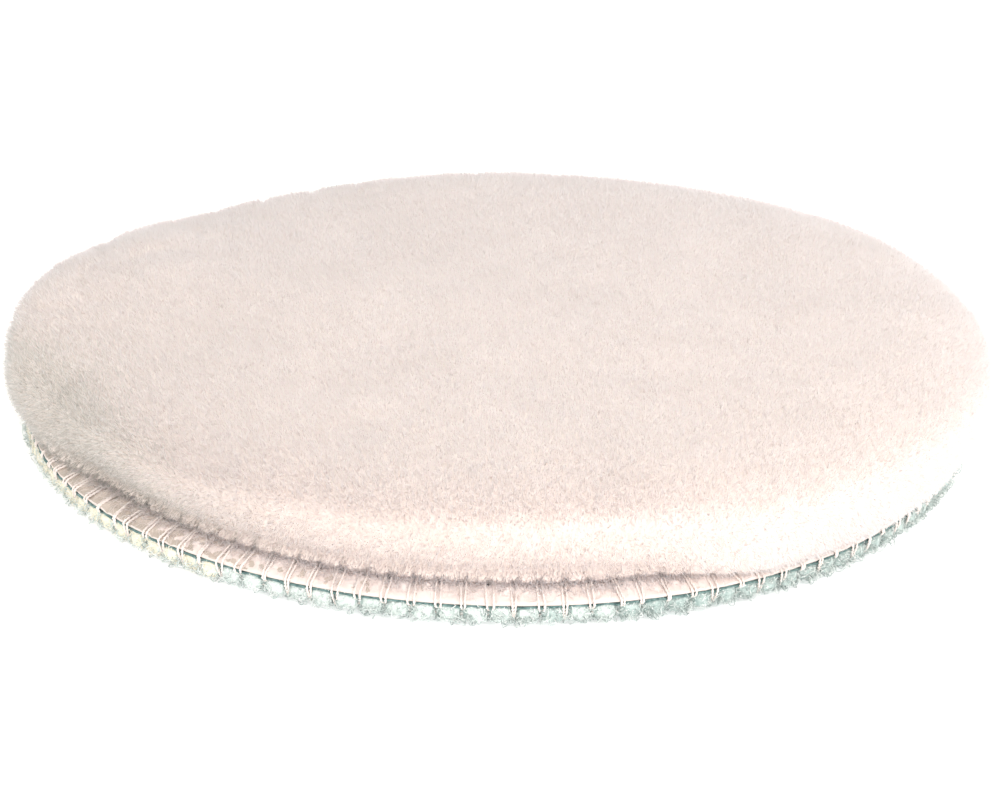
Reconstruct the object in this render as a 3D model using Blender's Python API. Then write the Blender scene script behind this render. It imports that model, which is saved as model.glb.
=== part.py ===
"""Lambswool polishing pad with a loop-fabric back and an overlocked edge.

Frame: +Z up, out of the wool. The origin is the centre of the loop face, which lies on z = 0.
Lengths are in metres. The pad is a stack of round layers, sewn together round the rim by a
three-thread overlock: one needle thread and two looper threads.
"""

import math

import bpy

# Driving dimensions
PAD_RADIUS = 0.075        # the hide and the loop fabric
GAP = 0.0003              # between pieces that touch on the real pad
STITCHES = 136            # round the rim, about 3.5 mm apart
SEAM_WIDTH = 0.0042       # from the rim in to the needle line
THREAD_RADIUS = 0.0002
SEGMENTS = 72             # round each turned layer

# Layers, from the loop face up
LOOP_HEIGHT = 0.0023
LOOP_RIM_LIFT = 0.0010    # how far the seam lifts the loops at the rim
CLOTH_THICKNESS = 0.0004
BOND_THICKNESS = 0.0002
HIDE_THICKNESS = 0.0011
HIDE_RIM_THICKNESS = 0.0003

CLOTH_BOTTOM = LOOP_HEIGHT + GAP
CLOTH_TOP = CLOTH_BOTTOM + CLOTH_THICKNESS
BOND_BOTTOM = CLOTH_TOP + GAP
BOND_TOP = BOND_BOTTOM + BOND_THICKNESS
HIDE_BOTTOM = BOND_TOP + GAP
HIDE_TOP = HIDE_BOTTOM + HIDE_THICKNESS
HIDE_RIM_TOP = HIDE_BOTTOM + HIDE_RIM_THICKNESS

NEEDLE_RADIUS = PAD_RADIUS - SEAM_WIDTH
RECESS_RADIUS = NEEDLE_RADIUS - 0.0015   # where the lifted rim of the loops starts
BOND_RADIUS = RECESS_RADIUS              # the bond stays inside the seam

# Wool: it flares out over the seam, is widest at its waist, and has a round shoulder
WOOL_BOTTOM = HIDE_TOP + GAP
WOOL_TOP = 0.0190
WOOL_ROOT_RADIUS = NEEDLE_RADIUS - 0.0010
WOOL_LIFT = 0.0012        # the first wool over the seam stands this high before it flares
WOOL_WAIST_RADIUS = PAD_RADIUS + 0.0028
WOOL_WAIST_HEIGHT = 0.0125
WOOL_FLAT_RADIUS = 0.050
SHOULDER_STEPS = 8

# Threads
TOP_THREAD_Z = HIDE_TOP + GAP + THREAD_RADIUS        # lying on the hide at the needle line
RIM_THREAD_Z = HIDE_RIM_TOP + GAP + THREAD_RADIUS    # lying on the hide at its rim
RIM_THREAD_RADIUS = PAD_RADIUS + GAP + THREAD_RADIUS
UNDER_THREAD_Z = LOOP_RIM_LIFT - GAP - THREAD_RADIUS
LEG_SPREAD = 0.12         # half the distance between a stitch's two legs, in stitches
LEG_SLANT = 0.15          # how far a leg leans between the needle line and the rim, in stitches
NEEDLE_ARCH = 0.0002      # how far the needle thread rises between its holes


def clear_scene():
    for obj in list(bpy.data.objects):
        bpy.data.objects.remove(obj)


def make_material(name, colour, roughness):
    """A matt Principled material: nothing on this pad is metal."""
    material = bpy.data.materials.new(name)
    material.use_nodes = True
    shader = material.node_tree.nodes["Principled BSDF"]
    shader.inputs["Base Color"].default_value = (*colour, 1.0)
    shader.inputs["Roughness"].default_value = roughness
    shader.inputs["Metallic"].default_value = 0.0
    return material


def add_object(name, data, material):
    obj = bpy.data.objects.new(name, data)
    data.materials.append(material)
    bpy.context.scene.collection.objects.link(obj)
    return obj


def turned(name, outline, material):
    """A solid turned round +Z. The outline is (radius, height) pairs, from the top of the axis,
    down the outer side, to the bottom of the axis."""
    mesh = bpy.data.meshes.new(name)
    points = [(radius, 0.0, height) for radius, height in outline]
    edges = [(i, i + 1) for i in range(len(points) - 1)]
    mesh.from_pydata(points, edges, [])
    obj = add_object(name, mesh, material)
    screw = obj.modifiers.new("turn", "SCREW")
    screw.steps = SEGMENTS
    screw.render_steps = SEGMENTS
    screw.use_merge_vertices = True
    screw.merge_threshold = 0.00001
    screw.use_smooth_shade = True
    return obj


def on_seam(radius, turn, height):
    """A point at a radius and a height, and a number of stitches round the seam."""
    angle = 2 * math.pi * turn / STITCHES
    return (radius * math.cos(angle), radius * math.sin(angle), height)


def thread(name, stitch, material):
    """One closed thread all the way round. stitch(i) gives its points for stitch number i."""
    points = [point for i in range(STITCHES) for point in stitch(i)]
    curve = bpy.data.curves.new(name, "CURVE")
    curve.dimensions = "3D"
    curve.bevel_depth = THREAD_RADIUS
    curve.bevel_resolution = 0
    spline = curve.splines.new("POLY")
    spline.points.add(len(points) - 1)
    for place, point in zip(spline.points, points):
        place.co = (*point, 1.0)
    spline.use_cyclic_u = True
    return add_object(name, curve, material)


def shoulder(radius, waist_height, flat_radius, top):
    """A quarter of an ellipse from the edge of the flat top out and down to the waist."""
    places = []
    for i in range(SHOULDER_STEPS + 1):
        angle = math.pi / 2 * (1 - i / SHOULDER_STEPS)
        places.append((
            flat_radius + (radius - flat_radius) * math.cos(angle),
            waist_height + (top - waist_height) * math.sin(angle),
        ))
    return places


def make_loop_pile(material):
    """The hook-and-loop face. The seam squeezes its rim up off the flat."""
    return turned("loop_pile", [
        (0, LOOP_HEIGHT),
        (PAD_RADIUS, LOOP_HEIGHT),
        (PAD_RADIUS, LOOP_RIM_LIFT),
        (RECESS_RADIUS + LOOP_RIM_LIFT, LOOP_RIM_LIFT),
        (RECESS_RADIUS, 0),
        (0, 0),
    ], material)


def make_backing_cloth(material):
    """The knitted ground that the loops stand on."""
    return turned("backing_cloth", [
        (0, CLOTH_TOP),
        (PAD_RADIUS, CLOTH_TOP),
        (PAD_RADIUS, CLOTH_BOTTOM),
        (0, CLOTH_BOTTOM),
    ], material)


def make_bond_film(material):
    """The glue film between the cloth and the hide."""
    return turned("bond_film", [
        (0, BOND_TOP),
        (BOND_RADIUS, BOND_TOP),
        (BOND_RADIUS, BOND_BOTTOM),
        (0, BOND_BOTTOM),
    ], material)


def make_hide(material):
    """The tanned skin. Its margin slopes down from the needle line to the rim."""
    return turned("hide", [
        (0, HIDE_TOP),
        (NEEDLE_RADIUS, HIDE_TOP),
        (PAD_RADIUS, HIDE_RIM_TOP),
        (PAD_RADIUS, HIDE_BOTTOM),
        (0, HIDE_BOTTOM),
    ], material)


def make_wool_pile(material):
    return turned("wool_pile", [
        (0, WOOL_TOP),
        *shoulder(WOOL_WAIST_RADIUS, WOOL_WAIST_HEIGHT, WOOL_FLAT_RADIUS, WOOL_TOP),
        (WOOL_ROOT_RADIUS, WOOL_BOTTOM + WOOL_LIFT),
        (WOOL_ROOT_RADIUS, WOOL_BOTTOM),
        (0, WOOL_BOTTOM),
    ], material)


def needle_stitch(i):
    """The needle thread lies along the needle line, pulled down at each hole."""
    ring = NEEDLE_RADIUS - 2 * THREAD_RADIUS
    return [on_seam(ring, i, TOP_THREAD_Z), on_seam(ring, i + 0.5, TOP_THREAD_Z + NEEDLE_ARCH)]


def upper_looper_stitch(i):
    """The upper looper comes out from the needle line, over the rim and down to the loops,
    turns there, and goes back beside itself."""
    inner = NEEDLE_RADIUS + 2 * THREAD_RADIUS
    legs = []
    for side in (-LEG_SPREAD, LEG_SPREAD):
        legs.append([
            on_seam(inner, i + side, TOP_THREAD_Z),
            on_seam(RIM_THREAD_RADIUS, i + side - LEG_SLANT, RIM_THREAD_Z),
            on_seam(RIM_THREAD_RADIUS, i + side - LEG_SLANT, UNDER_THREAD_Z),
        ])
    return legs[0] + legs[1][::-1]


def lower_looper_stitch(i):
    """The lower looper zigzags under the lifted rim of the loops."""
    outer = PAD_RADIUS - 2 * THREAD_RADIUS
    return [
        on_seam(outer, i - LEG_SLANT, UNDER_THREAD_Z),
        on_seam(NEEDLE_RADIUS, i + 0.5, UNDER_THREAD_Z),
    ]


def main():
    clear_scene()
    wool = make_material("wool", (0.88, 0.77, 0.71), 0.95)
    leather = make_material("leather", (0.84, 0.71, 0.64), 0.80)
    glue = make_material("glue", (0.80, 0.78, 0.70), 0.50)
    ground = make_material("ground_cloth", (0.16, 0.30, 0.29), 0.90)
    loops = make_material("loops", (0.60, 0.75, 0.71), 0.90)
    yarn = make_material("yarn", (0.91, 0.87, 0.83), 0.70)

    make_loop_pile(loops)
    make_backing_cloth(ground)
    make_bond_film(glue)
    make_hide(leather)
    make_wool_pile(wool)
    thread("needle_thread", needle_stitch, yarn)
    thread("upper_looper_thread", upper_looper_stitch, yarn)
    thread("lower_looper_thread", lower_looper_stitch, yarn)


main()
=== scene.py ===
"""The looks of the lambswool polishing pad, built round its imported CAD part."""

import itertools
import math

import bmesh
import bpy
import numpy as np
from mathutils import Euler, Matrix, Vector


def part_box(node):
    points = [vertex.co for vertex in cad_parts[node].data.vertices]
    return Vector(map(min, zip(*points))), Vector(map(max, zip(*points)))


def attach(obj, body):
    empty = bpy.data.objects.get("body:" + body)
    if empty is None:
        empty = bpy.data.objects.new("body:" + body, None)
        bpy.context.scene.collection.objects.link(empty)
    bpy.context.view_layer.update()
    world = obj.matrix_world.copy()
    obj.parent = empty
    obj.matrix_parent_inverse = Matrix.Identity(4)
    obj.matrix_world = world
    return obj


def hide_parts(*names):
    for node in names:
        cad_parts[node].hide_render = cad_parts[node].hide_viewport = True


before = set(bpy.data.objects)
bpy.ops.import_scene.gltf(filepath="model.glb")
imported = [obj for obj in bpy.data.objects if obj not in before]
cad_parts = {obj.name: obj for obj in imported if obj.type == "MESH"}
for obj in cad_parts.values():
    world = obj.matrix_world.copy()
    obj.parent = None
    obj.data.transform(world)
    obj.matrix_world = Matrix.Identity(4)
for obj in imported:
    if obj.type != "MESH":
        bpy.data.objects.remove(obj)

TURN = 2 * math.pi
MM = 0.001
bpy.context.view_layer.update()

# Corners of the CAD nodes' boxes
WOOL_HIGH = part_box("wool_pile")[1]
HIDE_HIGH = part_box("hide")[1]
CLOTH_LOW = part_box("backing_cloth")[0]
SEAM_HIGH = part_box("needle_thread")[1]

# The seam
RIM = HIDE_HIGH.x                      # radius of the hide and of the loop fabric
NEEDLE = SEAM_HIGH.x + 0.2 * MM        # radius of the line of needle holes
STITCHES = 136
STITCH_LENGTH = TURN * NEEDLE / STITCHES
PLY_RADIUS = 0.1 * MM
PLY_TWIST = 1.1 * MM                   # length along the thread of one turn of its two plies
THREAD_STEP = 0.24 * MM                # between the points along a thread

# The layers, which touch here: the gaps between the CAD solids are closed
CLOTH_Z = CLOTH_LOW.z + 0.33 * MM      # middle of the ground cloth
CLOTH_HALF = 0.14 * MM
HIDE_UNDER = CLOTH_Z + CLOTH_HALF
HIDE_RIM_Z = HIDE_UNDER + 0.45 * MM    # top of the hide at its rim
HIDE_Z = HIDE_HIGH.z - 0.1 * MM        # top of the hide at the needle line

# The wool's outline: radii and heights of the undercoat that the fibres cover
COAT = 1.0 * MM                        # how far the fibres stand out of the undercoat
WOOL_TOP = WOOL_HIGH.z - COAT
WOOL_WAIST = WOOL_HIGH.x - 0.6 * COAT
WOOL_WAIST_Z = 12.2 * MM
WOOL_FLAT = 47 * MM
WOOL_ROOT = NEEDLE - 0.5 * MM
WOOL_ROOT_Z = HIDE_Z - 0.1 * MM

OUTLINE_STEPS = 800
FIBRE_LEAN = 0.30                      # how far the fibres lean, as a share of their length

# How the cutter's hand left the turned fleece
TILT = 2.2                             # millimetres by which it rises towards TILT_UP
LOWERED = 0.6                          # millimetres off the whole top
RIM_LUMPS = (                          # millimetres of rise, and azimuth and width in degrees
    (4.0, 172, 20),
    (-1.2, 128, 16),
    (1.2, 30, 14),
)
STEEPER = 5.0                          # millimetres by which the front's waist is cut back
CUT_BACK_FROM = 50 * MM                # radius outside which it is

# Azimuths in degrees, from +X towards +Y. The camera stands at -90
TILT_UP = -10
WORN = 140                             # the fleece's rim is worn into lumps
STEEP = 248                            # its wall is steep, and leaves the hide's margin bare
SPILL_LEFT = 178                       # it covers the margin
SPILL_RIGHT = -5
# Painted shade at the left of the pad, which lies away from the lights: on the fleece's wall, its
# foot and the hide
SHADE_ON_WOOL = 206                     # painted shade: the fleece's wall is tinted beige
SHADE_ON_FOOT = 222
SHADE_ON_HIDE = 212                     # painted shade: the hide is tinted brown
STRAW_LOOPS = 216                       # the loops are straw-coloured

# How many there are of what repeats
HAIRS = 90000                          # crimped hairs, of which each is a thin tube
TIPS = 306000                          # the dense pile below them: only the fibres' tips
WOOL_SECTORS = 16
MARGIN_HAIRS = 20000
RIM_LOOPS = 13000
STRAY_CURLS = 2600
FACE_LOOPS = 12000


# Tools


def noise(points, scale, seed):
    """Smooth noise from -1 to 1 at each point, with bumps about scale across."""
    table = np.random.default_rng(seed).uniform(-1, 1, (32, 32, 32))
    place = np.asarray(points) / scale
    cell = np.floor(place).astype(int)
    part = place - cell
    part = part * part * (3 - 2 * part)
    total = np.zeros(place.shape[:-1])
    for corner in itertools.product((0, 1), repeat=3):
        weight = np.prod(np.where(corner, part, 1 - part), axis=-1)
        x, y, z = np.moveaxis((cell + corner) % 32, -1, 0)
        total += weight * table[x, y, z]
    return total


def unit(vectors):
    length = np.linalg.norm(vectors, axis=-1, keepdims=True)
    return vectors / np.maximum(length, 1e-12)


def polar(radius, angle, z):
    """Points from cylindrical coordinates, which may be arrays of matching shapes."""
    radius, angle, z = np.broadcast_arrays(radius, angle, z)
    return np.stack([radius * np.cos(angle), radius * np.sin(angle), z], axis=-1)


def smoothstep(low, high, x):
    """0 below low, 1 above high, and a smooth step between them."""
    t = np.clip((x - low) / (high - low), 0, 1)
    return t * t * (3 - 2 * t)


def add_mesh(name, points, face_groups, materials, tints=None):
    """A piece of the pad from points and faces. Each group of faces is an array with one row of
    corners per face, and tints is a material index per face."""
    mesh = bpy.data.meshes.new(name)
    mesh.vertices.add(len(points))
    mesh.vertices.foreach_set("co", np.asarray(points, np.float32).ravel())
    corners = np.concatenate([faces.ravel() for faces in face_groups]).astype(np.int32)
    sides = np.concatenate([np.full(len(faces), faces.shape[1]) for faces in face_groups])
    starts = np.concatenate([[0], np.cumsum(sides)[:-1]]).astype(np.int32)
    mesh.loops.add(len(corners))
    mesh.loops.foreach_set("vertex_index", corners)
    mesh.polygons.add(len(sides))
    mesh.polygons.foreach_set("loop_start", starts)
    if tints is not None:
        mesh.polygons.foreach_set("material_index", np.asarray(tints, np.int32))
    mesh.update(calc_edges=True)
    mesh.shade_smooth()
    for material in materials:
        mesh.materials.append(material)
    piece = bpy.data.objects.new(name, mesh)
    bpy.context.scene.collection.objects.link(piece)
    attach(piece, "root")
    return piece


def rings_mesh(name, rings, materials, tint=None):
    """A closed body from rings of points, (rings, around, 3), from its top centre down its outer
    side to its bottom centre. The end rings are small and are filled. tint is a material index
    for each place between four points."""
    count, around, _ = rings.shape
    points = rings.reshape(-1, 3)
    ring, step = np.meshgrid(np.arange(count - 1), np.arange(around), indexing="ij")
    after = (step + 1) % around
    quads = np.stack([
        ring * around + step,
        (ring + 1) * around + step,
        (ring + 1) * around + after,
        ring * around + after,
    ], axis=-1).reshape(-1, 4)
    tints = None if tint is None else tint.ravel()
    piece = add_mesh(name, points, [quads], materials, tints)
    with_caps(piece.data, count, around)
    return piece


def with_caps(mesh, count, around):
    """Closes the first and the last ring with a face."""
    shape = bmesh.new()
    shape.from_mesh(mesh)
    shape.verts.ensure_lookup_table()
    shape.faces.new([shape.verts[i] for i in range(around)])
    last = (count - 1) * around
    shape.faces.new([shape.verts[last + i] for i in reversed(range(around))])
    shape.to_mesh(mesh)
    shape.free()


def tube_parts(paths, radii, sides, reference):
    """Points and faces of many open tubes with filled ends. paths is (tubes, steps, 3), radii is
    (tubes, steps) and reference is a direction for each tube that none of it runs along."""
    tubes, steps, _ = paths.shape
    along = unit(np.gradient(paths, axis=1))
    across = unit(np.cross(along, reference[:, None, :]))
    other = np.cross(along, across)
    turn = np.arange(sides) * TURN / sides
    ring = (across[:, :, None, :] * np.cos(turn)[:, None]
            + other[:, :, None, :] * np.sin(turn)[:, None])
    points = paths[:, :, None, :] + ring * radii[:, :, None, None]
    base = (np.arange(tubes) * steps * sides)[:, None, None]
    step = np.arange(steps - 1)[None, :, None] * sides
    side = np.arange(sides)[None, None, :]
    after = (side + 1) % sides
    walls = np.stack([
        base + step + side,
        base + step + after,
        base + step + sides + after,
        base + step + sides + side,
    ], axis=-1).reshape(tubes, -1, 4)
    return points.reshape(-1, 3), walls


def tube_ends(tubes, steps, sides):
    """The faces that fill the two ends of each tube."""
    start = np.arange(tubes)[:, None] * steps * sides
    return start + np.arange(sides)[::-1], start + (steps - 1) * sides + np.arange(sides)


def tubes(name, paths, radii, sides, reference, materials, slot, tints):
    """Many thin tubes with filled ends in one mesh, each with its own tint of the materials."""
    points, walls = tube_parts(paths, radii, sides, reference)
    ends = tube_ends(len(paths), paths.shape[1], sides)
    every_tint = np.concatenate([np.repeat(tints, walls.shape[1]), tints, tints])
    return add_mesh(name, points, [walls.reshape(-1, 4), *ends], materials, every_tint)


# Places along the seam


def phase(angle):
    """Place in the stitch, from 0 at a needle hole to 1 at the next."""
    return (angle / TURN * STITCHES) % 1.0


def from_stitch(angle):
    """0 in the middle between two stitches, and 1 at a stitch."""
    return 0.5 + 0.5 * np.cos(TURN * phase(angle))


# Materials


def shader_material(name, colour, roughness, sheen=0.0, sheen_roughness=0.5):
    """A material with a Principled shader of one colour, and its node tree and shader."""
    material = bpy.data.materials.new(name)
    material.use_nodes = True
    tree = material.node_tree
    shader = tree.nodes["Principled BSDF"]
    shader.inputs["Base Color"].default_value = (*colour, 1.0)
    shader.inputs["Roughness"].default_value = roughness
    shader.inputs["Sheen Weight"].default_value = sheen
    shader.inputs["Sheen Roughness"].default_value = sheen_roughness
    shader.inputs["Specular IOR Level"].default_value = 0.2
    return material, tree, shader


def add_noise(tree, scale, detail=3.0, stretch=(1, 1, 1)):
    """A noise texture in the part's own coordinates, in bumps to the metre."""
    place = tree.nodes.new("ShaderNodeTexCoord")
    mapping = tree.nodes.new("ShaderNodeMapping")
    mapping.inputs["Scale"].default_value = stretch
    texture = tree.nodes.new("ShaderNodeTexNoise")
    texture.inputs["Scale"].default_value = scale
    texture.inputs["Detail"].default_value = detail
    tree.links.new(place.outputs["Object"], mapping.inputs["Vector"])
    tree.links.new(mapping.outputs["Vector"], texture.inputs["Vector"])
    return texture


def colour_between(tree, shader, texture, low, high, spread=(0.3, 0.7)):
    """Colours the shader from low to high by a texture, and returns the ramp that does it."""
    ramp = tree.nodes.new("ShaderNodeValToRGB")
    ramp.color_ramp.elements[0].position = spread[0]
    ramp.color_ramp.elements[1].position = spread[1]
    ramp.color_ramp.elements[0].color = (*low, 1.0)
    ramp.color_ramp.elements[1].color = (*high, 1.0)
    tree.links.new(texture.outputs["Fac"], ramp.inputs["Fac"])
    tree.links.new(ramp.outputs["Color"], shader.inputs["Base Color"])
    return ramp


def add_bump(tree, shader, texture, distance, strength=0.6):
    bump = tree.nodes.new("ShaderNodeBump")
    bump.inputs["Distance"].default_value = distance
    bump.inputs["Strength"].default_value = strength
    tree.links.new(texture.outputs["Fac"], bump.inputs["Height"])
    tree.links.new(bump.outputs["Normal"], shader.inputs["Normal"])


def make_undercoat_material():
    # Darker than the fibres: painted shade in the gaps between the locks, where the undercoat
    # shows
    material, tree, shader = shader_material("wool_undercoat", (0.88, 0.79, 0.73), 0.95, 0.3)
    clumps = add_noise(tree, 260, 5)
    colour_between(tree, shader, clumps, (0.84, 0.745, 0.68), (0.90, 0.81, 0.755))
    strands = add_noise(tree, 2600, 3, (1, 1, 0.35))
    add_bump(tree, shader, strands, 0.35 * MM)
    return material


def make_fibre_materials():
    """Tints of one fleece: two beiges for painted shade, then its ivory, to its clean tips."""
    tints = [
        (0.480, 0.425, 0.355),
        (0.680, 0.600, 0.520),
        (0.922, 0.770, 0.728),
        (0.936, 0.784, 0.748),
        (0.949, 0.799, 0.770),
        (0.961, 0.814, 0.792),
        (0.972, 0.832, 0.816),
    ]
    return [make_soft_material(f"wool_fibre_{i + 1}", tint) for i, tint in enumerate(tints)]


def make_soft_material(name, tint):
    """A fibre that light passes into, as it does into wool."""
    material, _, shader = shader_material(name, tint, 0.8, 0.25)
    shader.inputs["Subsurface Weight"].default_value = 1.0
    shader.inputs["Subsurface Radius"].default_value = (1.0, 0.8, 0.7)
    shader.inputs["Subsurface Scale"].default_value = 0.8 * MM
    return material


def make_hide_material(name, low, high):
    """Undyed skin with a fine grain. Its colour has painted light at the needle line, which the
    fleece shades, and painted shade towards its rim, where light falls on it.
    """
    material, tree, shader = shader_material(name, high, 0.8, 0.1)
    blotches = add_noise(tree, 330, 6)
    place = tree.nodes.new("ShaderNodeTexCoord")
    radius = tree.nodes.new("ShaderNodeVectorMath")
    radius.operation = "LENGTH"
    tree.links.new(place.outputs["Object"], radius.inputs[0])
    # Painted light at the needle line and painted shade at the rim
    edge = tree.nodes.new("ShaderNodeMapRange")
    edge.inputs["From Min"].default_value = NEEDLE
    edge.inputs["From Max"].default_value = RIM
    edge.inputs["To Min"].default_value = 0.35
    edge.inputs["To Max"].default_value = -0.25
    tree.links.new(radius.outputs["Value"], edge.inputs["Value"])
    total = tree.nodes.new("ShaderNodeMath")
    total.operation = "ADD"
    tree.links.new(blotches.outputs["Fac"], total.inputs[0])
    tree.links.new(edge.outputs["Result"], total.inputs[1])
    ramp = colour_between(tree, shader, blotches, low, high)
    tree.links.new(total.outputs["Value"], ramp.inputs["Fac"])
    grain = add_noise(tree, 2900, 4)
    add_bump(tree, shader, grain, 0.12 * MM, 0.5)
    return material


def make_hole_material():
    """The shaded inside of a needle hole."""
    material, tree, shader = shader_material("needle_hole", (0.3, 0.24, 0.21), 0.9)
    depth = add_noise(tree, 3000, 2)
    colour_between(tree, shader, depth, (0.20, 0.15, 0.13), (0.46, 0.37, 0.33))
    return material


def make_cloth_material():
    material, tree, shader = shader_material("ground_knit", (0.13, 0.24, 0.235), 0.9, 0.2)
    yarns = add_noise(tree, 1900, 3)
    colour_between(tree, shader, yarns, (0.06, 0.12, 0.12), (0.22, 0.35, 0.335))
    add_bump(tree, shader, yarns, 0.2 * MM, 0.8)
    return material


def make_loop_bed_material(name, low, high):
    material, tree, shader = shader_material(name, high, 0.9, 0.3)
    fuzz = add_noise(tree, 1500, 4)
    colour_between(tree, shader, fuzz, low, high)
    add_bump(tree, shader, fuzz, 0.3 * MM, 0.8)
    return material


def make_loop_materials():
    tints = [
        (0.38, 0.45, 0.435),
        (0.63, 0.71, 0.685),
        (0.82, 0.885, 0.855),
        (0.95, 0.97, 0.955),
        (0.97, 0.925, 0.78),
    ]
    return [
        shader_material(f"velour_loop_{i + 1}", tint, 0.75, 0.2)[0]
        for i, tint in enumerate(tints)
    ]


def make_yarn_material():
    material, tree, shader = shader_material("sewing_yarn", (0.86, 0.80, 0.75), 0.6, 0.2)
    lint = add_noise(tree, 4200, 3)
    colour_between(tree, shader, lint, (0.84, 0.75, 0.70), (0.95, 0.89, 0.85))
    return material


def make_glue_material():
    material, tree, shader = shader_material("laminating_glue", (0.8, 0.78, 0.7), 0.45)
    flow = add_noise(tree, 500, 3)
    colour_between(tree, shader, flow, (0.72, 0.69, 0.58), (0.86, 0.84, 0.76))
    add_bump(tree, shader, flow, 0.1 * MM, 0.4)
    return material


# Wool


def wool_outline(count):
    """Radius, height, and outward direction of the undercoat's outline, from the top centre over
    the shoulder and the waist to the root, in even steps."""
    flat = np.linspace(0.0004, 1, 200)
    shoulder = np.linspace(0, math.pi / 2, 200)
    under = np.linspace(0, 1, 120)
    crown = 0.5 * MM
    edge_z = WOOL_TOP - crown
    radius = np.concatenate([
        WOOL_FLAT * flat,
        WOOL_FLAT + (WOOL_WAIST - WOOL_FLAT) * np.sin(shoulder) ** 0.92,
        WOOL_ROOT + (WOOL_WAIST - WOOL_ROOT) * (1 - under ** 1.8),
    ])
    height = np.concatenate([
        WOOL_TOP - crown * flat ** 2,
        WOOL_WAIST_Z + (edge_z - WOOL_WAIST_Z) * np.cos(shoulder) ** 0.95,
        WOOL_ROOT_Z + (WOOL_WAIST_Z - WOOL_ROOT_Z) * (1 - under),
    ])
    length = np.concatenate([[0], np.cumsum(np.hypot(np.diff(radius), np.diff(height)))])
    even = np.linspace(0, length[-1], count)
    radius = np.interp(even, length, radius)
    height = np.interp(even, length, height)
    slope_r = np.gradient(radius)
    slope_z = np.gradient(height)
    size = np.hypot(slope_r, slope_z)
    return radius, height, -slope_z / size, slope_r / size


def back_left(points):
    """1 at the back left of the fleece's rim, where it is worn into tufts, and 0 elsewhere."""
    angle = np.arctan2(points[..., 1], points[..., 0])
    radius = np.hypot(points[..., 0], points[..., 1])
    at_rim = smoothstep(48 * MM, 70 * MM, radius)
    return at_rim * np.clip(np.cos(angle - math.radians(WORN)), 0, 1) ** 3


def undercoat_swell(points):
    """How far the undercoat stands out of its smooth outline, in metres."""
    broad = noise(points, 15 * MM, 1) * 0.24
    lumps = noise(points, 6.0 * MM, 2) * 0.11
    small = noise(points, 2.6 * MM, 3) * 0.03
    worn = back_left(points)
    partings = (1 - np.abs(noise(points, 8 * MM, 4))) ** 7
    return ((broad + lumps + small) * (0.6 + 2.4 * worn) - 1.3 * partings * worn) * MM


def degrees_from(angle, centre):
    """Degrees, from -180 to 180, from an azimuth in degrees to an angle in radians."""
    return (np.degrees(angle) - centre + 180) % 360 - 180


def bump(angle, centre, width):
    """1 at an azimuth, and less to both sides of it. The centre and the width are in degrees."""
    return np.exp(-(degrees_from(angle, centre) / width) ** 2)


def front_share(angle):
    """1 round the front of the fleece, and 0 at its sides and its back."""
    return smoothstep(0.60, 0.86, np.cos(angle - math.radians(STEEP)))


def side_spill(angle):
    """How far the fleece reaches over the hide's margin, as a share of the margin's width. It
    covers most of the margin at the left and the right, and little of it at the front."""
    left = smoothstep(0.72, 0.90, np.cos(angle - math.radians(SPILL_LEFT)))
    right = smoothstep(0.36, 0.60, np.cos(angle - math.radians(SPILL_RIGHT)))
    return 0.26 + 0.64 * left + 0.66 * right


def cut_rise(angle, edge):
    """How far the cutter's hand raised the top of the fleece, in millimetres. edge runs from 0
    in the middle to 1 at the waist."""
    tilt = TILT * np.cos(angle - math.radians(TILT_UP)) * edge - LOWERED
    lumps = sum(size * bump(angle, centre, width) for size, centre, width in RIM_LUMPS)
    return tilt + lumps * edge ** 3


def hand_cut(points):
    """Moves points of a turned fleece to where the cutter left it: thicker towards its right,
    worn down at its back left, steep at its front, and spilling over the hide at its sides."""
    angle = np.arctan2(points[..., 1], points[..., 0])
    radius = np.hypot(points[..., 0], points[..., 1])
    height = points[..., 2]
    edge = radius / WOOL_WAIST
    up = smoothstep(WOOL_ROOT_Z, WOOL_WAIST_Z, height)
    rise = cut_rise(angle, edge) * smoothstep(WOOL_ROOT_Z, WOOL_TOP, height)
    wide = (0.30 + 0.45 * np.cos(2 * angle) + 0.40 * np.cos(angle)) * up * edge ** 2
    outer = np.clip((radius - CUT_BACK_FROM) / (WOOL_WAIST - CUT_BACK_FROM), 0, None)
    off_root = smoothstep(WOOL_ROOT_Z, WOOL_ROOT_Z + 2 * MM, height)
    wide = wide - STEEPER * front_share(angle) * outer ** 2.5 * off_root
    spill = side_spill(angle) * (1 - up) * smoothstep(0.9 * WOOL_ROOT, WOOL_ROOT, radius)
    wide = wide * MM + spill * (RIM - NEEDLE)
    return points + polar(wide, angle, rise * MM - spill * (HIDE_Z - HIDE_RIM_Z))


def wool_surface(radius, height, out_r, out_z, angle):
    """Points of the displaced undercoat, and the outward direction of its smooth outline."""
    points = polar(radius, angle, height)
    outward = polar(out_r, angle, out_z)
    low = smoothstep(WOOL_WAIST_Z, WOOL_ROOT_Z, height) * (out_z < 0)
    swell = undercoat_swell(points) * (1 - 0.85 * low)
    swell = swell - 0.3 * MM * from_stitch(angle) ** 6 * low ** 4
    return hand_cut(points + outward * swell[..., None]), outward


def make_wool_undercoat(material):
    rings, around = 132, 720
    radius, height, out_r, out_z = (x[:, None] for x in wool_outline(rings))
    angle = np.arange(around)[None, :] * TURN / around
    points, _ = wool_surface(radius, height, out_r, out_z, angle)
    under = polar(np.array([[WOOL_ROOT * 0.9], [0.5 * MM]]), angle, WOOL_ROOT_Z)
    piece = rings_mesh("wool_undercoat", np.concatenate([points, under]), [material])
    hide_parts("wool_pile")
    return piece


def outline_length(outline):
    """Length of one of the outline's even steps."""
    return np.hypot(np.diff(outline[0]), np.diff(outline[1])).mean()


def grow_direction(points, outward):
    """Fibres fan out from the hide, and lean with the surface."""
    spread = (NEEDLE - 1 * MM) / WOOL_WAIST
    root = points * [spread, spread, 0] + [0, 0, HIDE_Z]
    return unit(0.55 * unit(points - root) + 0.45 * outward)


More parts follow.
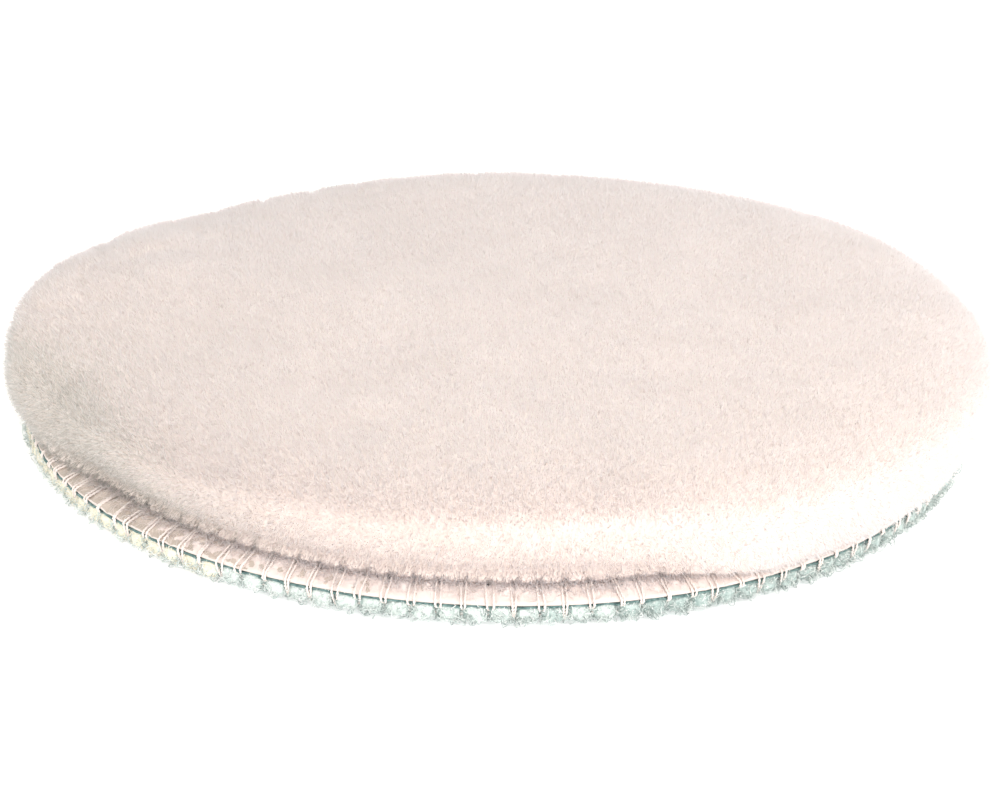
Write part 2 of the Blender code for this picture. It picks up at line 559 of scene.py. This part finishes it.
def fleece_roots(random, count, shake):
    """Places on the undercoat for fibres, on a sunflower spiral that covers it evenly and is
    slightly shaken: angle, point, outward direction, and nearness to the seam from 0 to 1."""
    outline = wool_outline(OUTLINE_STEPS)
    index = np.arange(OUTLINE_STEPS)
    area = np.cumsum(outline[0])
    share = (np.arange(count) + 0.5) / count * area[-1]
    step = random.normal(0, shake, (count, 2))
    at = np.interp(share, area, index) + step[:, 0] / outline_length(outline)
    at = np.clip(at, 0, OUTLINE_STEPS - 1)
    radius, height, out_r, out_z = (np.interp(at, index, x) for x in outline)
    angle = np.arange(count) * TURN * 0.6180339887 + step[:, 1] / np.maximum(radius, 1.5 * MM)
    root, normal = wool_surface(radius, height, out_r, out_z, angle)
    low = smoothstep(WOOL_WAIST_Z, WOOL_ROOT_Z, height) * (out_z < 0)
    return angle, root, normal, low


def fibre_lean(root, grow):
    """Which way the fibres lean off their growing direction: neighbours lean alike."""
    swirl = np.stack([noise(root, 9 * MM, seed) for seed in (5, 6, 7)], axis=-1)
    return FIBRE_LEAN * (swirl - (swirl * grow).sum(-1, keepdims=True) * grow)


def fibre_tints(random, angle, root, low, count):
    """A material index for each fibre: patchy, with painted shade at the foot beside each stitch,
    where it parts the wool, and painted shade in beige on the wall and the foot of the
    fleece's left, which faces away from the lights."""
    patch = noise(root, 4.5 * MM, 8)
    shade = count - 3 + 0.1 * patch + random.normal(0, 0.5, len(angle))
    side = smoothstep(WOOL_TOP, WOOL_WAIST_Z, root[:, 2])
    # Painted shade: beige on the wall and the foot of the fleece's left, away from the lights
    shade = shade - 3.5 * bump(angle, SHADE_ON_WOOL, 36) * side
    shade = shade - 1.2 * bump(angle, SHADE_ON_FOOT, 26) * low
    # Painted shade: darker fibres at the foot beside each stitch, in the notch where it parts the
    # wool
    shade = shade - 1.8 * from_stitch(angle) ** 10 * low ** 4
    return np.clip(np.rint(shade), 0, count - 1).astype(int)


def wool_hairs(random, roots, tint_count):
    """Crimped hairs: their paths, radii, references and tints."""
    angle, root, normal, low = roots
    count = len(root)
    grow = grow_direction(root, normal)
    length = random.uniform(0.95, 1.5, count) * MM * (1 - 0.3 * low)
    stray = random.normal(0, 0.30, (count, 3))
    tip = root + unit(grow + fibre_lean(root, grow) + stray) * length[:, None]
    sunk = root - grow * 0.4 * MM
    t = np.linspace(0, 1, 3)[None, :, None]
    bend = grow * length[:, None] * 0.17
    path = sunk[:, None] + (tip - sunk)[:, None] * t + bend[:, None] * (4 * t * (1 - t))
    path[:, 1:] += random.normal(0, 0.07 * MM, path[:, 1:].shape)
    thick = random.uniform(0.030, 0.045, count) * MM
    radii = thick[:, None] * np.array([1.0, 0.9, 0.35])[None, :]
    reference = unit(random.normal(0, 1, (count, 3)))
    tint = fibre_tints(random, angle, root, low, tint_count)
    return path, radii, reference, tint


def wool_tips(random, roots, tint_count):
    """Straight tips: the four corners of each, and their tints."""
    angle, root, normal, low = roots
    count = len(root)
    grow = grow_direction(root, normal)
    length = random.uniform(0.55, 1.05, count) * MM * (1 - 0.25 * low)
    stray = random.normal(0, 0.33, (count, 3))
    direction = unit(grow + fibre_lean(root, grow) + stray)
    tip = root + direction * length[:, None]
    across = unit(np.cross(direction, unit(random.normal(0, 1, (count, 3)))))
    other = np.cross(direction, across)
    thick = (random.uniform(0.045, 0.070, count) * MM)[:, None]
    turn = np.arange(3) * TURN / 3
    foot = [root - grow * 0.3 * MM + (across * np.cos(a) + other * np.sin(a)) * thick
            for a in turn]
    corners = np.stack([*foot, tip], axis=1)
    return corners, fibre_tints(random, angle, root, low, tint_count)


def make_wool_fibres(materials):
    """The fleece's visible fibres, in sectors."""
    random = np.random.default_rng(11)
    roots = fleece_roots(random, HAIRS, 0.4 * MM)
    path, radii, reference, hair_tint = wool_hairs(random, roots, len(materials))
    hair_sector = sector_of(roots[0])
    roots = fleece_roots(random, TIPS, 0.12 * MM)
    corners, tip_tint = wool_tips(random, roots, len(materials))
    tip_sector = sector_of(roots[0])

    for number in range(WOOL_SECTORS):
        mine = hair_sector == number
        hair_points, walls = tube_parts(path[mine], radii[mine], 3, reference[mine])
        ends = tube_ends(len(walls), path.shape[1], 3)
        hair_tints = [np.repeat(hair_tint[mine], walls.shape[1]), hair_tint[mine], hair_tint[mine]]
        mine = tip_sector == number
        first = len(hair_points) + 4 * np.arange(mine.sum())[:, None, None]
        spikes = first + np.array([[0, 1, 3], [1, 2, 3], [2, 0, 3], [0, 2, 1]])
        add_mesh(
            f"wool_fibres_{number + 1:02d}",
            np.concatenate([hair_points, corners[mine].reshape(-1, 3)]),
            [walls.reshape(-1, 4), *ends, spikes.reshape(-1, 3)], materials,
            np.concatenate([*hair_tints, np.repeat(tip_tint[mine], 4)]))


def sector_of(angle):
    return (angle % TURN / TURN * WOOL_SECTORS).astype(int) % WOOL_SECTORS


# Hide, cloth and loops


def hole_depth(radius, angle):
    """1 in the middle of a needle hole and 0 away from it. No two holes are quite alike."""
    side, out, size = np.random.default_rng(23).uniform(-1, 1, (3, STITCHES))
    turn = angle / TURN * STITCHES
    stitch = np.rint(turn).astype(int) % STITCHES
    across = (turn - np.rint(turn)) * STITCH_LENGTH - 0.25 * MM * side[stitch]
    outward = radius - NEEDLE - 0.12 * MM * out[stitch]
    width = (0.42 + 0.12 * size[stitch]) * MM
    return np.exp(-(across ** 2 + (0.75 * outward) ** 2) / width ** 2)


def margin_height(radius, angle):
    """Height of the hide's top. Its margin slopes from the needle line to the rim, with the
    stitches pressed into it, creases that run with them, and the pits of its grain."""
    slope = (radius - NEEDLE + 0.8 * MM) / (RIM - NEEDLE + 0.8 * MM)
    height = HIDE_Z - (HIDE_Z - HIDE_RIM_Z) * np.clip(slope, 0, 1.1) ** 1.3
    out = smoothstep(NEEDLE - 0.2 * MM, NEEDLE + 0.8 * MM, radius)
    height = height - 0.18 * MM * from_stitch(angle) ** 3 * out
    place = polar(radius, angle, 0.0)
    spokes = polar(NEEDLE + 0.3 * (radius - NEEDLE), angle, 0.0)
    height = height + noise(spokes, 0.9 * MM, 24) * 0.09 * MM * out
    height = height + (noise(place, 2.2 * MM, 21) * 0.15 + noise(place, 0.8 * MM, 22) * 0.07) * MM
    pits = smoothstep(0.35, 0.75, noise(place, 0.75 * MM, 25))
    return height - 0.22 * MM * pits * out - 1.0 * MM * hole_depth(radius, angle)


def make_hide(materials):
    """The skin with its bare margin, and a hole at each stitch. Its left and its holes have
    painted shade.
    """
    around = STITCHES * 16
    angle = np.arange(around)[None, :] * TURN / around
    inner = np.linspace(60 * MM, NEEDLE - 1.4 * MM, 4)
    margin = np.linspace(NEEDLE - 1.3 * MM, RIM - 0.15 * MM, 28)
    radius = np.concatenate([[0.5 * MM], inner, margin])[:, None]
    height = margin_height(radius, angle)
    top = polar(radius, angle, height)

    pressed = from_stitch(angle)
    edge_r = RIM + np.array([[-0.04], [0.02], [0.0], [-0.12]]) * MM - 0.12 * MM * pressed
    low = HIDE_UNDER - 0.05 * MM * pressed
    edge_z = low + (height[-1:] - low) * np.array([[0.8], [0.5], [0.2], [0.0]])
    edge = polar(edge_r, angle, edge_z)
    under = polar(np.array([[NEEDLE], [60 * MM], [0.5 * MM]]), angle, HIDE_UNDER)
    rings = np.concatenate([top, edge, under])
    tint = np.zeros((len(rings) - 1, around), int)
    # Painted shade: the margin's left, away from the lights, gets the darker sheepskin, and each
    # needle hole the dark hole material
    left_shade = bump(angle, SHADE_ON_HIDE, 30) + 0.5 * noise(top, 0.8 * MM, 26) > 0.45
    tint[:len(radius)] = np.where(hole_depth(radius, angle) > 0.5, 2, left_shade)
    piece = rings_mesh("hide_skin", rings, materials, tint)
    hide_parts("hide")
    return piece


def make_margin_hairs(materials):
    """Wool that strays over the needle line, and stubble that the shears left on the margin."""
    random = np.random.default_rng(61)
    count = MARGIN_HAIRS
    inner = NEEDLE - 0.9 * MM
    root_r = inner + (RIM - 0.4 * MM - inner) * random.beta(0.8, 2.4, count)
    angle = random.uniform(0, TURN, count)
    length = random.uniform(0.7, 2.6, count) * MM
    heading = random.normal(0, 0.9, count)
    tip_r = np.minimum(root_r + length * np.cos(heading), RIM + 0.2 * MM)
    tip_angle = angle + length * np.sin(heading) / root_r
    t = np.linspace(0, 1, 3)[None, :]
    r = root_r[:, None] + (tip_r - root_r)[:, None] * t
    a = angle[:, None] + (tip_angle - angle)[:, None] * t
    arch = random.uniform(0.15, 0.75, count)[:, None] * MM
    lift = -0.1 * MM + (arch + 0.15 * MM) * np.sin(math.pi * (0.1 + 0.75 * t))
    floor = HIDE_Z - (HIDE_Z - HIDE_RIM_Z) * np.clip((r - NEEDLE) / (RIM - NEEDLE), 0, 1.1)
    path = polar(r, a, floor + lift)
    path[:, 1:] += random.normal(0, 0.08 * MM, path[:, 1:].shape)
    thick = random.uniform(0.028, 0.045, count) * MM
    radii = thick[:, None] * np.array([1.0, 0.9, 0.4])[None, :]
    reference = np.tile([[0.1, 0.2, 1.0]], (count, 1))
    first = angle < math.pi
    # Painted shade: darker tints at the left, away from the lights
    left_shade = bump(angle, SHADE_ON_HIDE, 30)
    shade = len(materials) - 2.3 - 2.6 * left_shade + random.normal(0, 0.8, count)
    tint = np.clip(np.rint(shade), 0, len(materials) - 1).astype(int)
    for number, mine in enumerate((first, ~first)):
        tubes(f"margin_hairs_{number + 1}", path[mine], radii[mine], 3, reference[mine], materials,
              "wool", tint[mine])


def cloth_wave(angle):
    """The cloth's edge is pulled down by each stitch, and is cut unevenly."""
    uneven = noise(polar(RIM, angle, 0 * angle), 1.6 * MM, 32)
    return -0.30 * MM * from_stitch(angle) ** 2 + 0.09 * MM * uneven


def make_ground_cloth(material):
    around = STITCHES * 10
    angle = np.arange(around)[None, :] * TURN / around
    radius = np.array([[0.5], [35.0], [60.0], [70.0], [73.0], [74.4]]) * MM
    share = smoothstep(72 * MM, RIM, radius)
    wave = cloth_wave(angle)
    top = polar(radius, angle, CLOTH_Z + CLOTH_HALF + wave * share)
    turn = np.linspace(80, -80, 6)[:, None] * math.pi / 180
    fray = noise(polar(RIM, angle, 0 * angle), 0.7 * MM, 31) * 0.12 * MM
    edge_r = RIM - 0.12 * MM + 0.3 * MM * np.cos(turn) - 0.15 * MM * from_stitch(angle) + fray
    edge = polar(edge_r, angle, CLOTH_Z + CLOTH_HALF * np.sin(turn) + wave)
    bottom = polar(radius[::-1], angle, CLOTH_Z - CLOTH_HALF + wave * share[::-1])
    piece = rings_mesh("ground_cloth", np.concatenate([top, edge, bottom]), [material])
    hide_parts("backing_cloth")
    return piece


def pillow(angle):
    """0 at a stitch, which pulls the loops in, and 1 on the cushion between two."""
    return np.abs(np.sin(math.pi * phase(angle))) ** 0.45


def cushion_shake(angle, seed):
    """A number from -1 to 1 for the cushion that each angle is on."""
    table = np.random.default_rng(seed).uniform(-1, 1, STITCHES)
    return table[np.floor(angle / TURN * STITCHES).astype(int) % STITCHES]


def straw_tinted(angle):
    """Whether the loops at an azimuth are straw-coloured: they are at the front left."""
    return np.abs(degrees_from(angle, STRAW_LOOPS)) < 25 + 8 * cushion_shake(angle, 45)


def band_point(down, angle):
    """A point on the loop fabric's rim. down runs from 0 under the cloth to 1 underneath."""
    full = pillow(angle)
    turn = math.pi * (0.17 + 0.77 * down)
    bulge = (0.10 + (0.90 + 0.14 * cushion_shake(angle, 43)) * full) * np.sin(turn) ** 0.75
    radius = RIM - 0.95 * MM + 1.2 * MM * bulge - 1.5 * MM * smoothstep(0.66, 1, down)
    top = CLOTH_Z - CLOTH_HALF + cloth_wave(angle)
    low = (0.25 + 0.12 * cushion_shake(angle, 44) * full + 0.7 * (1 - full)) * MM
    height = low + (top - low) * (0.5 + 0.5 * np.cos(math.pi * down))
    return polar(radius, angle, height)


def make_loop_bed(materials):
    """The felted foot of the loops: cushions between the stitches, and a nubbly underside."""
    around = STITCHES * 10
    angle = np.arange(around)[None, :] * TURN / around
    inner = np.array([[0.5], [40.0], [68.0], [72.5]]) * MM
    top = polar(inner, angle, CLOTH_Z - CLOTH_HALF)
    band = band_point(np.linspace(0, 1, 22)[:, None], angle)
    band = band + unit(band * [1, 1, 0]) * (noise(band, 0.8 * MM, 41) * 0.16 * MM)[..., None]
    radius = np.concatenate([np.linspace(71.6, 66, 8), np.linspace(63, 0.5, 20)])[:, None] * MM
    nubs = noise(polar(radius, angle, 0 * angle), 1.3 * MM, 42)
    settle = smoothstep(RIM - 3.2 * MM, RIM - 6 * MM, radius)
    low = 0.28 * MM + 0.55 * MM * (1 - pillow(angle)) * (1 - settle)
    under = polar(radius, angle, low + 0.16 * MM * nubs)
    rings = np.concatenate([top, band, under])
    tint = np.zeros((len(rings) - 1, around), int)
    # The cushions at the left get the pale bed; the creases keep the darker one, which there is
    # painted shade
    cushion = pillow(angle) > 0.6
    at_left = np.cos(angle - math.radians(215)) + 0.15 * cushion_shake(angle, 46) > 0.35
    straw = straw_tinted(angle) & (pillow(angle) > 0.8)
    tint[len(top):len(top) + len(band) - 1] = np.where(straw, 2, cushion & at_left)
    piece = rings_mesh("velour_bed", rings, materials, tint)
    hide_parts("loop_pile")
    return piece


def loop_paths(base, outward, random, height, width):
    """Small curled loops standing on base points: seven points each."""
    count = len(base)
    side = unit(np.cross(outward, unit(random.normal(0, 1, (count, 3)))))
    other = np.cross(outward, side)
    t = np.linspace(0, 1, 7)[None, :, None]
    tall = (height * random.uniform(0.55, 1.3, count))[:, None, None]
    wide = (width * random.uniform(0.5, 1.4, count))[:, None, None]
    curl = (0.45 * width * random.normal(0, 1, count))[:, None, None]
    lean = (0.35 * height * random.normal(0, 1, count))[:, None, None]
    path = base[:, None] + outward[:, None] * tall * (np.sin(math.pi * t) - 0.2)
    path = path - side[:, None] * wide * 0.5 * np.cos(math.pi * t)
    path = path + other[:, None] * (curl * np.sin(TURN * t) + lean * np.sin(math.pi * t))
    return path, other


def above_floor(path, radius):
    """Keeps every point of the paths at least a thread's radius above the surface below."""
    path[..., 2] = np.maximum(path[..., 2], radius)
    return path


def add_loops(name, parts, path, radius, reference, materials, tint):
    """Loops in several pieces, each with those of one stretch round the pad."""
    angle = np.arctan2(path[:, 0, 1], path[:, 0, 0]) % TURN
    part = (angle / TURN * parts).astype(int) % parts
    for number in range(parts):
        mine = part == number
        radii = np.repeat(radius[mine, None], path.shape[1], axis=1)
        tubes(f"{name}_{number + 1}", path[mine], radii, 3, reference[mine], materials,
              "loops", tint[mine])


def make_rim_loops(materials):
    """The curly loops of the rim."""
    random = np.random.default_rng(51)
    count = RIM_LOOPS
    angle = random.uniform(0, TURN, count)
    down = random.beta(1.05, 0.9, count)
    base = band_point(down, angle)
    ahead = band_point(np.minimum(down + 0.02, 1), angle) - band_point(down - 0.02, angle)
    outward = unit(np.cross(polar(1.0, angle + math.pi / 2, 0.0), ahead))
    outward = unit(outward + random.normal(0, 0.3, (count, 3)))
    crease = 1 - pillow(angle)
    height = 0.66 * MM * (1 - 0.6 * smoothstep(0.3, 0.9, crease))
    path, reference = loop_paths(base, outward, random, height, 0.75 * MM)
    path = above_floor(path, 0.05 * MM)
    radius = random.uniform(0.050, 0.078, count) * MM
    # Painted shade: the loops are darker in the creases between cushions. They are also darker
    # towards the right
    shade = 1.5 - 1.2 * np.cos(angle - 0.3) - 1.2 * crease + random.normal(0, 0.85, count)
    tint = np.clip(np.rint(shade), 0, 3).astype(int)
    straw = straw_tinted(angle) & (random.random(count) < 0.8) & (crease < 0.45)
    tint[straw] = 4
    add_loops("rim_loops", 4, path, radius, reference, materials, tint)


def make_stray_curls(materials):
    """Longer curls that have worked loose along the foot of the rim."""
    random = np.random.default_rng(53)
    count = STRAY_CURLS
    angle = random.uniform(0, TURN, count)
    down = random.uniform(0.45, 0.95, count)
    base = band_point(down, angle)
    outward = unit(polar(1.0, angle, -0.25) + random.normal(0, 0.35, (count, 3)))
    path, reference = loop_paths(base, outward, random, np.full(count, 1.0 * MM), 0.8 * MM)
    path = above_floor(path, 0.05 * MM)
    radius = random.uniform(0.045, 0.065, count) * MM
    shade = 1.2 - 0.6 * np.cos(angle) + random.normal(0, 0.8, count)
    tint = np.clip(np.rint(shade), 0, 3).astype(int)
    add_loops("stray_curls", 1, path, radius, reference, materials, tint)


def make_face_loops(materials):
    """The loops of the underside, which hold the hooks of a backing plate."""
    random = np.random.default_rng(52)
    count = FACE_LOOPS
    radius = (RIM - 2.5 * MM) * np.sqrt(random.random(count))
    angle = random.uniform(0, TURN, count)
    base = polar(radius, angle, 0.42 * MM)
    outward = unit(np.array([[0, 0, -1.0]]) + random.normal(0, 0.3, (count, 3)))
    path, reference = loop_paths(base, outward, random, np.full(count, 0.32 * MM), 0.75 * MM)
    path = above_floor(path, 0.05 * MM)
    tint = np.clip(np.rint(random.normal(2.1, 0.8, count)), 0, 3).astype(int)
    add_loops("face_loops", 4, path, np.full(count, 0.045 * MM), reference, materials, tint)


# Threads


def smooth_closed(points, spacing):
    """A closed Catmull-Rom curve through the points, in even steps of about the spacing."""
    p0 = np.roll(points, 1, axis=0)
    p1 = points
    p2 = np.roll(points, -1, axis=0)
    p3 = np.roll(points, -2, axis=0)
    t = np.linspace(0, 1, 8, endpoint=False)[None, :, None]
    p0, p1, p2, p3 = (p[:, None] for p in (p0, p1, p2, p3))
    curve = 0.5 * (2 * p1 + (p2 - p0) * t + (2 * p0 - 5 * p1 + 4 * p2 - p3) * t ** 2
                   + (3 * p1 - 3 * p2 + p3 - p0) * t ** 3)
    curve = curve.reshape(-1, 3)
    closed = np.vstack([curve, curve[:1]])
    length = np.concatenate([[0], np.cumsum(np.linalg.norm(np.diff(closed, axis=0), axis=1))])
    count = int(length[-1] / spacing)
    even = np.arange(count) * length[-1] / count
    return np.stack([np.interp(even, length, closed[:, k]) for k in range(3)], axis=-1)


def carried_normals(path):
    """A normal at each point of a closed path, carried along it without twisting, then turned
    a little at each step so that the last meets the first."""
    along = unit(np.roll(path, -1, axis=0) - np.roll(path, 1, axis=0))
    normals = np.empty_like(path)
    normal = unit(np.cross(along[0], [0.3, 0.5, 0.8]))
    for i, direction in enumerate(along):
        normal = normal - direction * (normal @ direction)
        normal = normal / math.sqrt(normal @ normal)
        normals[i] = normal
    last = normals[-1] - along[0] * (normals[-1] @ along[0])
    side = np.cross(along[0], normals[0])
    miss = math.atan2(last @ side, last @ normals[0])
    turn = (-miss * np.arange(len(path)) / len(path))[:, None]
    return along, normals * np.cos(turn) + np.cross(along, normals) * np.sin(turn)


def closed_tube(path, radius, sides):
    """Points and faces of a closed tube."""
    along, normals = carried_normals(path)
    other = np.cross(along, normals)
    turn = np.arange(sides) * TURN / sides
    ring = normals[:, None] * np.cos(turn)[:, None] + other[:, None] * np.sin(turn)[:, None]
    points = (path[:, None] + ring * radius).reshape(-1, 3)
    step, side = np.meshgrid(np.arange(len(path)), np.arange(sides), indexing="ij")
    after_step = (step + 1) % len(path)
    after_side = (side + 1) % sides
    faces = np.stack([
        step * sides + side,
        step * sides + after_side,
        after_step * sides + after_side,
        after_step * sides + side,
    ], axis=-1).reshape(-1, 4)
    return points, faces


def make_thread(name, stitch, node, material):
    """A two-ply thread through every stitch. stitch(i) gives its points for stitch number i."""
    guide = np.array([point for i in range(STITCHES) for point in stitch(i)])
    path = smooth_closed(guide, THREAD_STEP)
    along, normals = carried_normals(path)
    other = np.cross(along, normals)
    step = np.linalg.norm(np.roll(path, -1, axis=0) - path, axis=1).mean()
    turns = round(len(path) * step / PLY_TWIST)
    turn = (np.arange(len(path)) * TURN * turns / len(path))[:, None]
    points, faces = [], []
    for ply in (0, math.pi):
        offset = normals * np.cos(turn + ply) + other * np.sin(turn + ply)
        ply_points, ply_faces = closed_tube(path + offset * PLY_RADIUS * 0.95, PLY_RADIUS, 5)
        faces.append(ply_faces + len(points) * len(ply_points))
        points.append(ply_points)
    piece = add_mesh(name, np.concatenate(points), faces, [material])
    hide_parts(node)
    return piece


def seam_point(radius, turn, height):
    angle = TURN * turn / STITCHES
    return (radius * math.cos(angle), radius * math.sin(angle), height)


def stitch_shake(i, seed):
    """Small differences from stitch to stitch, from -1 to 1."""
    return np.random.default_rng([seed, i]).uniform(-1, 1, 4)


THREAD_HIGH = 2 * PLY_RADIUS


def needle_stitch(i):
    """From hole to hole along the needle line, dipping into each hole."""
    shake = stitch_shake(i, 71)
    lift = HIDE_Z + THREAD_HIGH
    return [
        seam_point(NEEDLE, i, lift - 0.45 * MM),
        seam_point(NEEDLE + 0.05 * MM, i + 0.2, lift),
        seam_point(NEEDLE + (0.1 + 0.1 * shake[0]) * MM, i + 0.5, lift + 0.08 * MM),
        seam_point(NEEDLE + 0.05 * MM, i + 0.8, lift),
    ]


def upper_looper_stitch(i):
    """Two strands side by side: out of the needle hole, over the rim, down into the crease
    between two cushions of loops, and back. Some go all the way down it."""
    shake = stitch_shake(i, 72)
    top = 0.10 + 0.08 * shake[0]
    rim = 0.085 + 0.055 * shake[1]
    lean = 0.02 + 0.13 * shake[2]
    right = math.cos(TURN * i / STITCHES)
    long = shake[3] > 0.5 - 1.1 * max(0, right)
    depth = 0.15 * MM if long else 0.45 * MM
    fall = (2.3 if long else 1.1) * MM
    lift = THREAD_HIGH
    strands = []
    for side in (-1, 1):
        near, far = i + side * top, i + lean + side * rim
        strands.append([
            seam_point(NEEDLE + 0.1 * MM, near, HIDE_Z - 0.25 * MM),
            seam_point(NEEDLE + 0.55 * MM, near + 0.2 * (far - near), HIDE_Z - 0.1 * MM),
            seam_point(RIM - 0.9 * MM, near + 0.7 * (far - near), HIDE_RIM_Z + lift + 0.2 * MM),
            seam_point(RIM + 0.02 * MM, far, HIDE_RIM_Z + 0.05 * MM),
            seam_point(RIM + 0.2 * MM, far, CLOTH_Z),
            seam_point(RIM - depth, i + lean + side * rim * 0.5, CLOTH_Z - 0.6 * fall),
        ])
    bottom = seam_point(RIM - depth - 0.5 * MM, i + lean, CLOTH_Z - fall)
    return strands[0] + [bottom] + strands[1][::-1]


def lower_looper_stitch(i):
    """Zigzags under the rim, from each upper loop to the needle holes beside it."""
    low = 0.32 * MM
    return [
        seam_point(RIM - 0.5 * MM, i, CLOTH_Z - 1.3 * MM),
        seam_point(RIM - 1.6 * MM, i + 0.22, low + 0.35 * MM),
        seam_point(NEEDLE - 0.2 * MM, i + 0.5, low),
        seam_point(RIM - 1.6 * MM, i + 0.78, low + 0.35 * MM),
    ]


# Stage

CAMERA_ELEVATION = 24.0
CAMERA_DISTANCE = 337 * MM
CAMERA_LENS = 73.6
CAMERA_ROLL = 1.6
CAMERA_TARGET = (0.8 * MM, 0, -0.8 * MM)
SKY_COLOUR = (0.995, 0.99, 0.955)
SKY_STRENGTH = 0.95
SIDE_LIGHT = (1.0, 0.94, 0.95)
TOP_LIGHT = (1.0, 0.96, 0.95)
FLOOR_GLOW = 0.35
FLOOR_REACH = 6.0


def make_camera():
    elevation = math.radians(CAMERA_ELEVATION)
    data = bpy.data.cameras.new("camera")
    data.lens = CAMERA_LENS
    data.clip_start = 0.01
    camera = bpy.data.objects.new("camera", data)
    away = Vector((0, -math.cos(elevation), math.sin(elevation)))
    camera.location = Vector(CAMERA_TARGET) + away * CAMERA_DISTANCE
    facing = (-away).to_track_quat("-Z", "Y").to_matrix().to_4x4()
    roll = Euler((0, 0, math.radians(CAMERA_ROLL))).to_matrix().to_4x4()
    camera.rotation_euler = (facing @ roll).to_euler()
    bpy.context.scene.collection.objects.link(camera)
    bpy.context.scene.camera = camera


def make_floor():
    material, _, shader = shader_material("floor_white", (0.93, 0.93, 0.93), 0.9)
    shader.inputs["Emission Color"].default_value = (1, 1, 1, 1)
    shader.inputs["Emission Strength"].default_value = FLOOR_GLOW
    mesh = bpy.data.meshes.new("floor")
    sides = ((-1, -1), (1, -1), (1, 1), (-1, 1))
    mesh.from_pydata([(x * FLOOR_REACH, y * FLOOR_REACH, 0) for x, y in sides], [], [(0, 1, 2, 3)])
    mesh.materials.append(material)
    floor = bpy.data.objects.new("floor", mesh)
    bpy.context.scene.collection.objects.link(floor)


def add_softbox(name, azimuth, elevation, distance, size, energy, colour):
    """A square area light aimed at the pad, at an azimuth and an elevation in degrees."""
    data = bpy.data.lights.new(name, "AREA")
    data.size = size
    data.energy = energy
    data.color = colour
    lamp = bpy.data.objects.new(name, data)
    a, e = math.radians(azimuth), math.radians(elevation)
    away = Vector((math.cos(a) * math.cos(e), math.sin(a) * math.cos(e), math.sin(e)))
    lamp.location = away * distance
    lamp.rotation_euler = (-away).to_track_quat("-Z", "Y").to_euler()
    bpy.context.scene.collection.objects.link(lamp)


def make_light():
    scene = bpy.context.scene
    world = bpy.data.worlds.new("studio")
    world.use_nodes = True
    sky = world.node_tree.nodes["Background"]
    sky.inputs["Color"].default_value = (*SKY_COLOUR, 1)
    sky.inputs["Strength"].default_value = SKY_STRENGTH
    scene.world = world
    scene.view_settings.view_transform = "Standard"
    add_softbox("key", -74, 16, 1.2, 0.9, 6.8, SIDE_LIGHT)
    add_softbox("right", 20, 20, 1.2, 0.9, 3.5, SIDE_LIGHT)
    add_softbox("top", -50, 64, 1.4, 1.1, 6.8, TOP_LIGHT)


def glue_bond_film():
    """The film is shown as the CAD has it, and only gets its material here."""
    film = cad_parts["bond_film"].data
    film.materials.clear()
    film.materials.append(make_glue_material())


def make_fleece_and_hide():
    make_wool_undercoat(make_undercoat_material())
    fleece = make_fibre_materials()
    make_wool_fibres(fleece)
    make_hide([
        make_hide_material("sheepskin", (0.80, 0.71, 0.665), (0.925, 0.855, 0.825)),
        # A darker copy of the sheepskin: painted shade for the margin's left
        make_hide_material("sheepskin_shaded", (0.52, 0.45, 0.39), (0.78, 0.69, 0.62)),
        make_hole_material(),
    ])
    make_margin_hairs(fleece)


def make_loop_fabric():
    make_ground_cloth(make_cloth_material())
    make_loop_bed([
        make_loop_bed_material("velour_bed", (0.30, 0.40, 0.38), (0.56, 0.66, 0.63)),
        make_loop_bed_material("velour_bed_pale", (0.55, 0.64, 0.61), (0.82, 0.88, 0.85)),
        make_loop_bed_material("velour_bed_straw", (0.80, 0.775, 0.62), (0.96, 0.93, 0.79)),
    ])
    loop_materials = make_loop_materials()
    make_rim_loops(loop_materials)
    make_stray_curls(loop_materials)
    make_face_loops(loop_materials)


def make_threads():
    yarn = make_yarn_material()
    make_thread("needle_line", needle_stitch, "needle_thread", yarn)
    make_thread("rim_strands", upper_looper_stitch, "upper_looper_thread", yarn)
    make_thread("under_zigzag", lower_looper_stitch, "lower_looper_thread", yarn)


def main():
    make_camera()
    glue_bond_film()
    make_fleece_and_hide()
    make_loop_fabric()
    make_threads()
    make_floor()
    make_light()


main()
